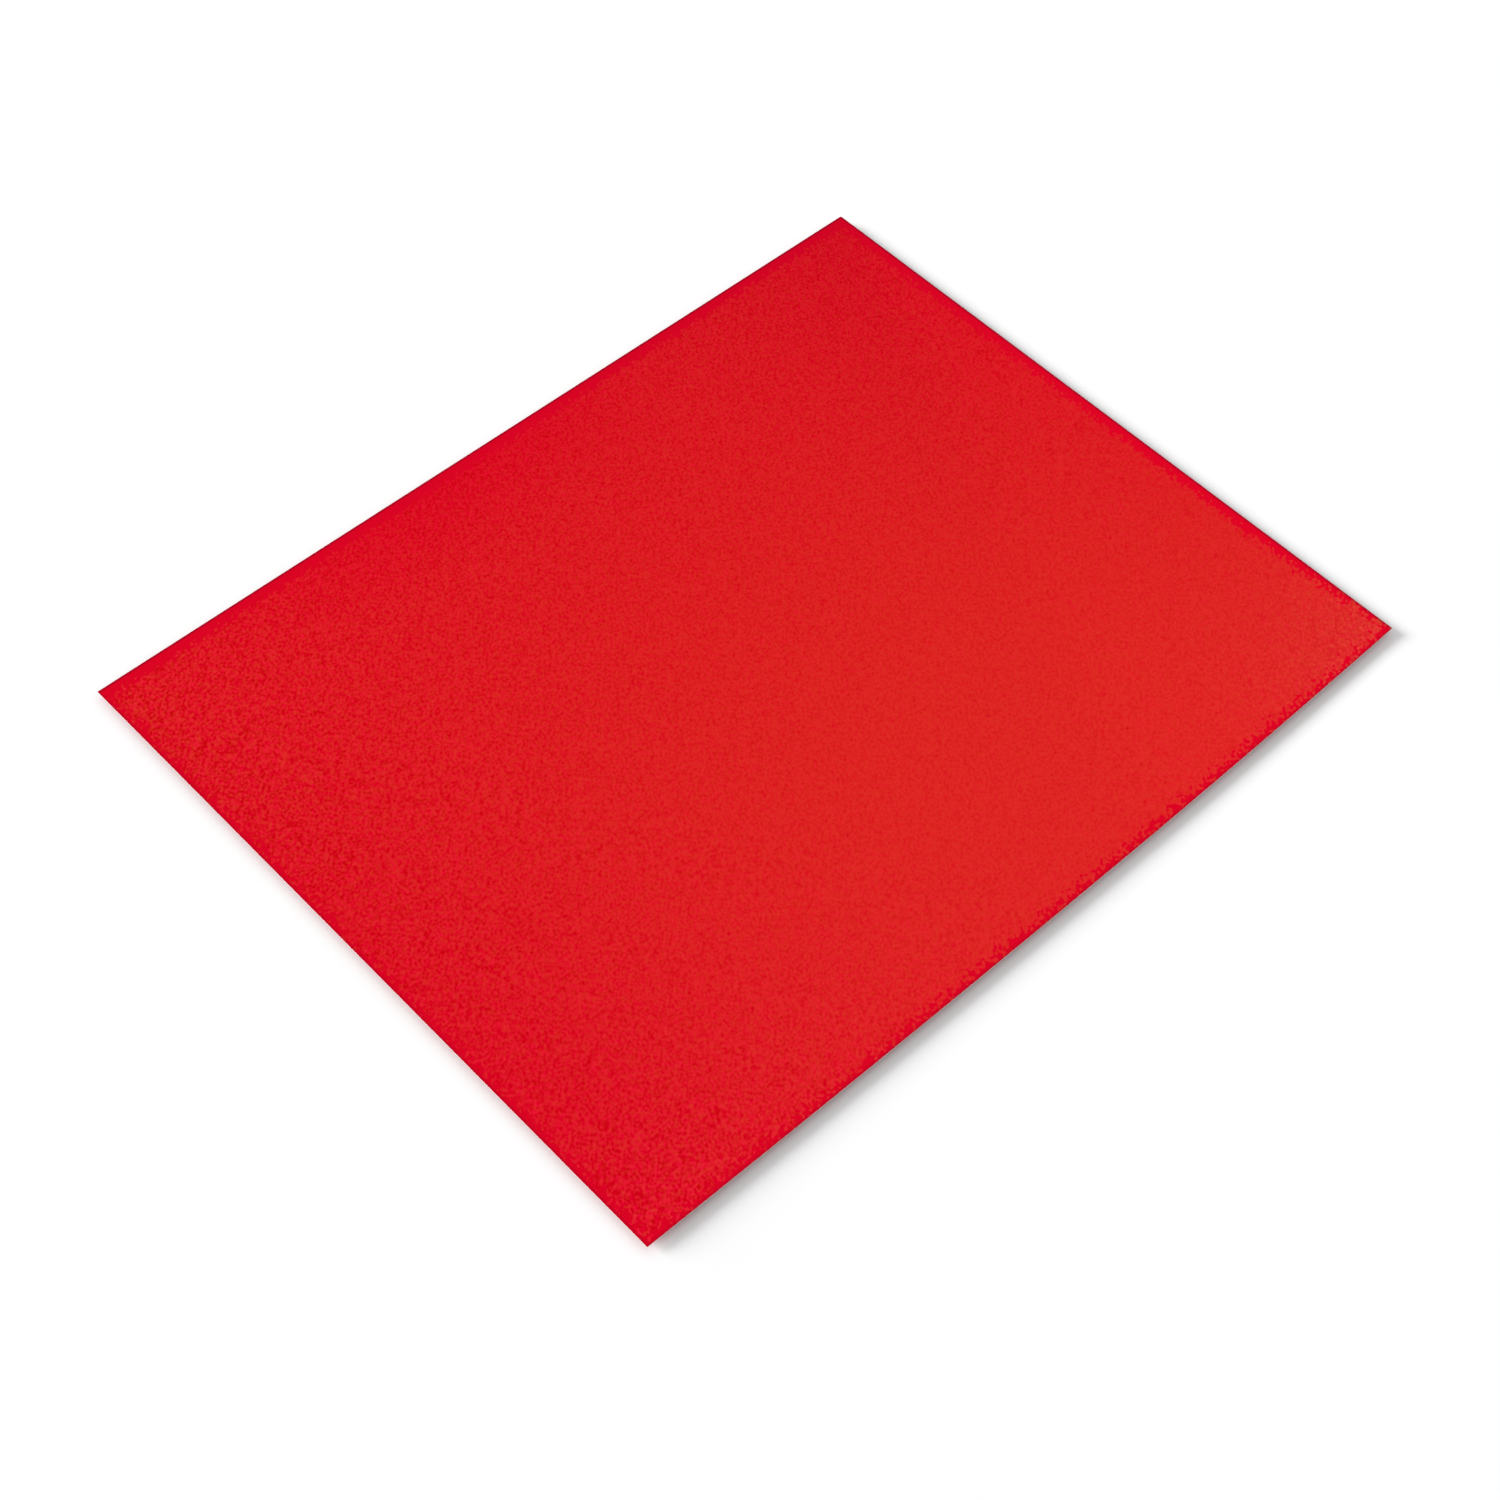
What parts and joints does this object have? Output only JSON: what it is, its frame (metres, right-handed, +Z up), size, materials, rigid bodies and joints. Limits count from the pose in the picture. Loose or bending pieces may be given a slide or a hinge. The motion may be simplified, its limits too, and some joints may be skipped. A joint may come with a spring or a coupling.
{
  "type": "coloured board sheet",
  "caption": "Rectangular sheet of coloured board with straight knife-cut edges, for signs and craft work, lying with a gentle upward curl at its front corners.",
  "frame": {"origin": "on the surface the sheet lies on, under the middle of the sheet", "axes": "+X along the long side, +Y along the short side towards the straight long edge that lies flat, +Z up out of the front face"},
  "size_m": [0.7112, 0.5588, 0.0125],
  "materials": {
    "colour_coat": "matt red coat with a fine mottled grain, the same on both faces",
    "liner_pulp": "pale uncoated pulp, seen only on the cut edges",
    "inner_pulp": "slightly greyer uncoated pulp, seen only on the cut edges"
  },
  "bodies": {
    "root": {"back_colour_coat": "colour_coat", "back_liner_ply": "liner_pulp", "inner_ply_lower": "inner_pulp", "inner_ply_upper": "inner_pulp", "front_liner_ply": "liner_pulp", "front_colour_coat": "colour_coat"}
  },
  "joints": []
}
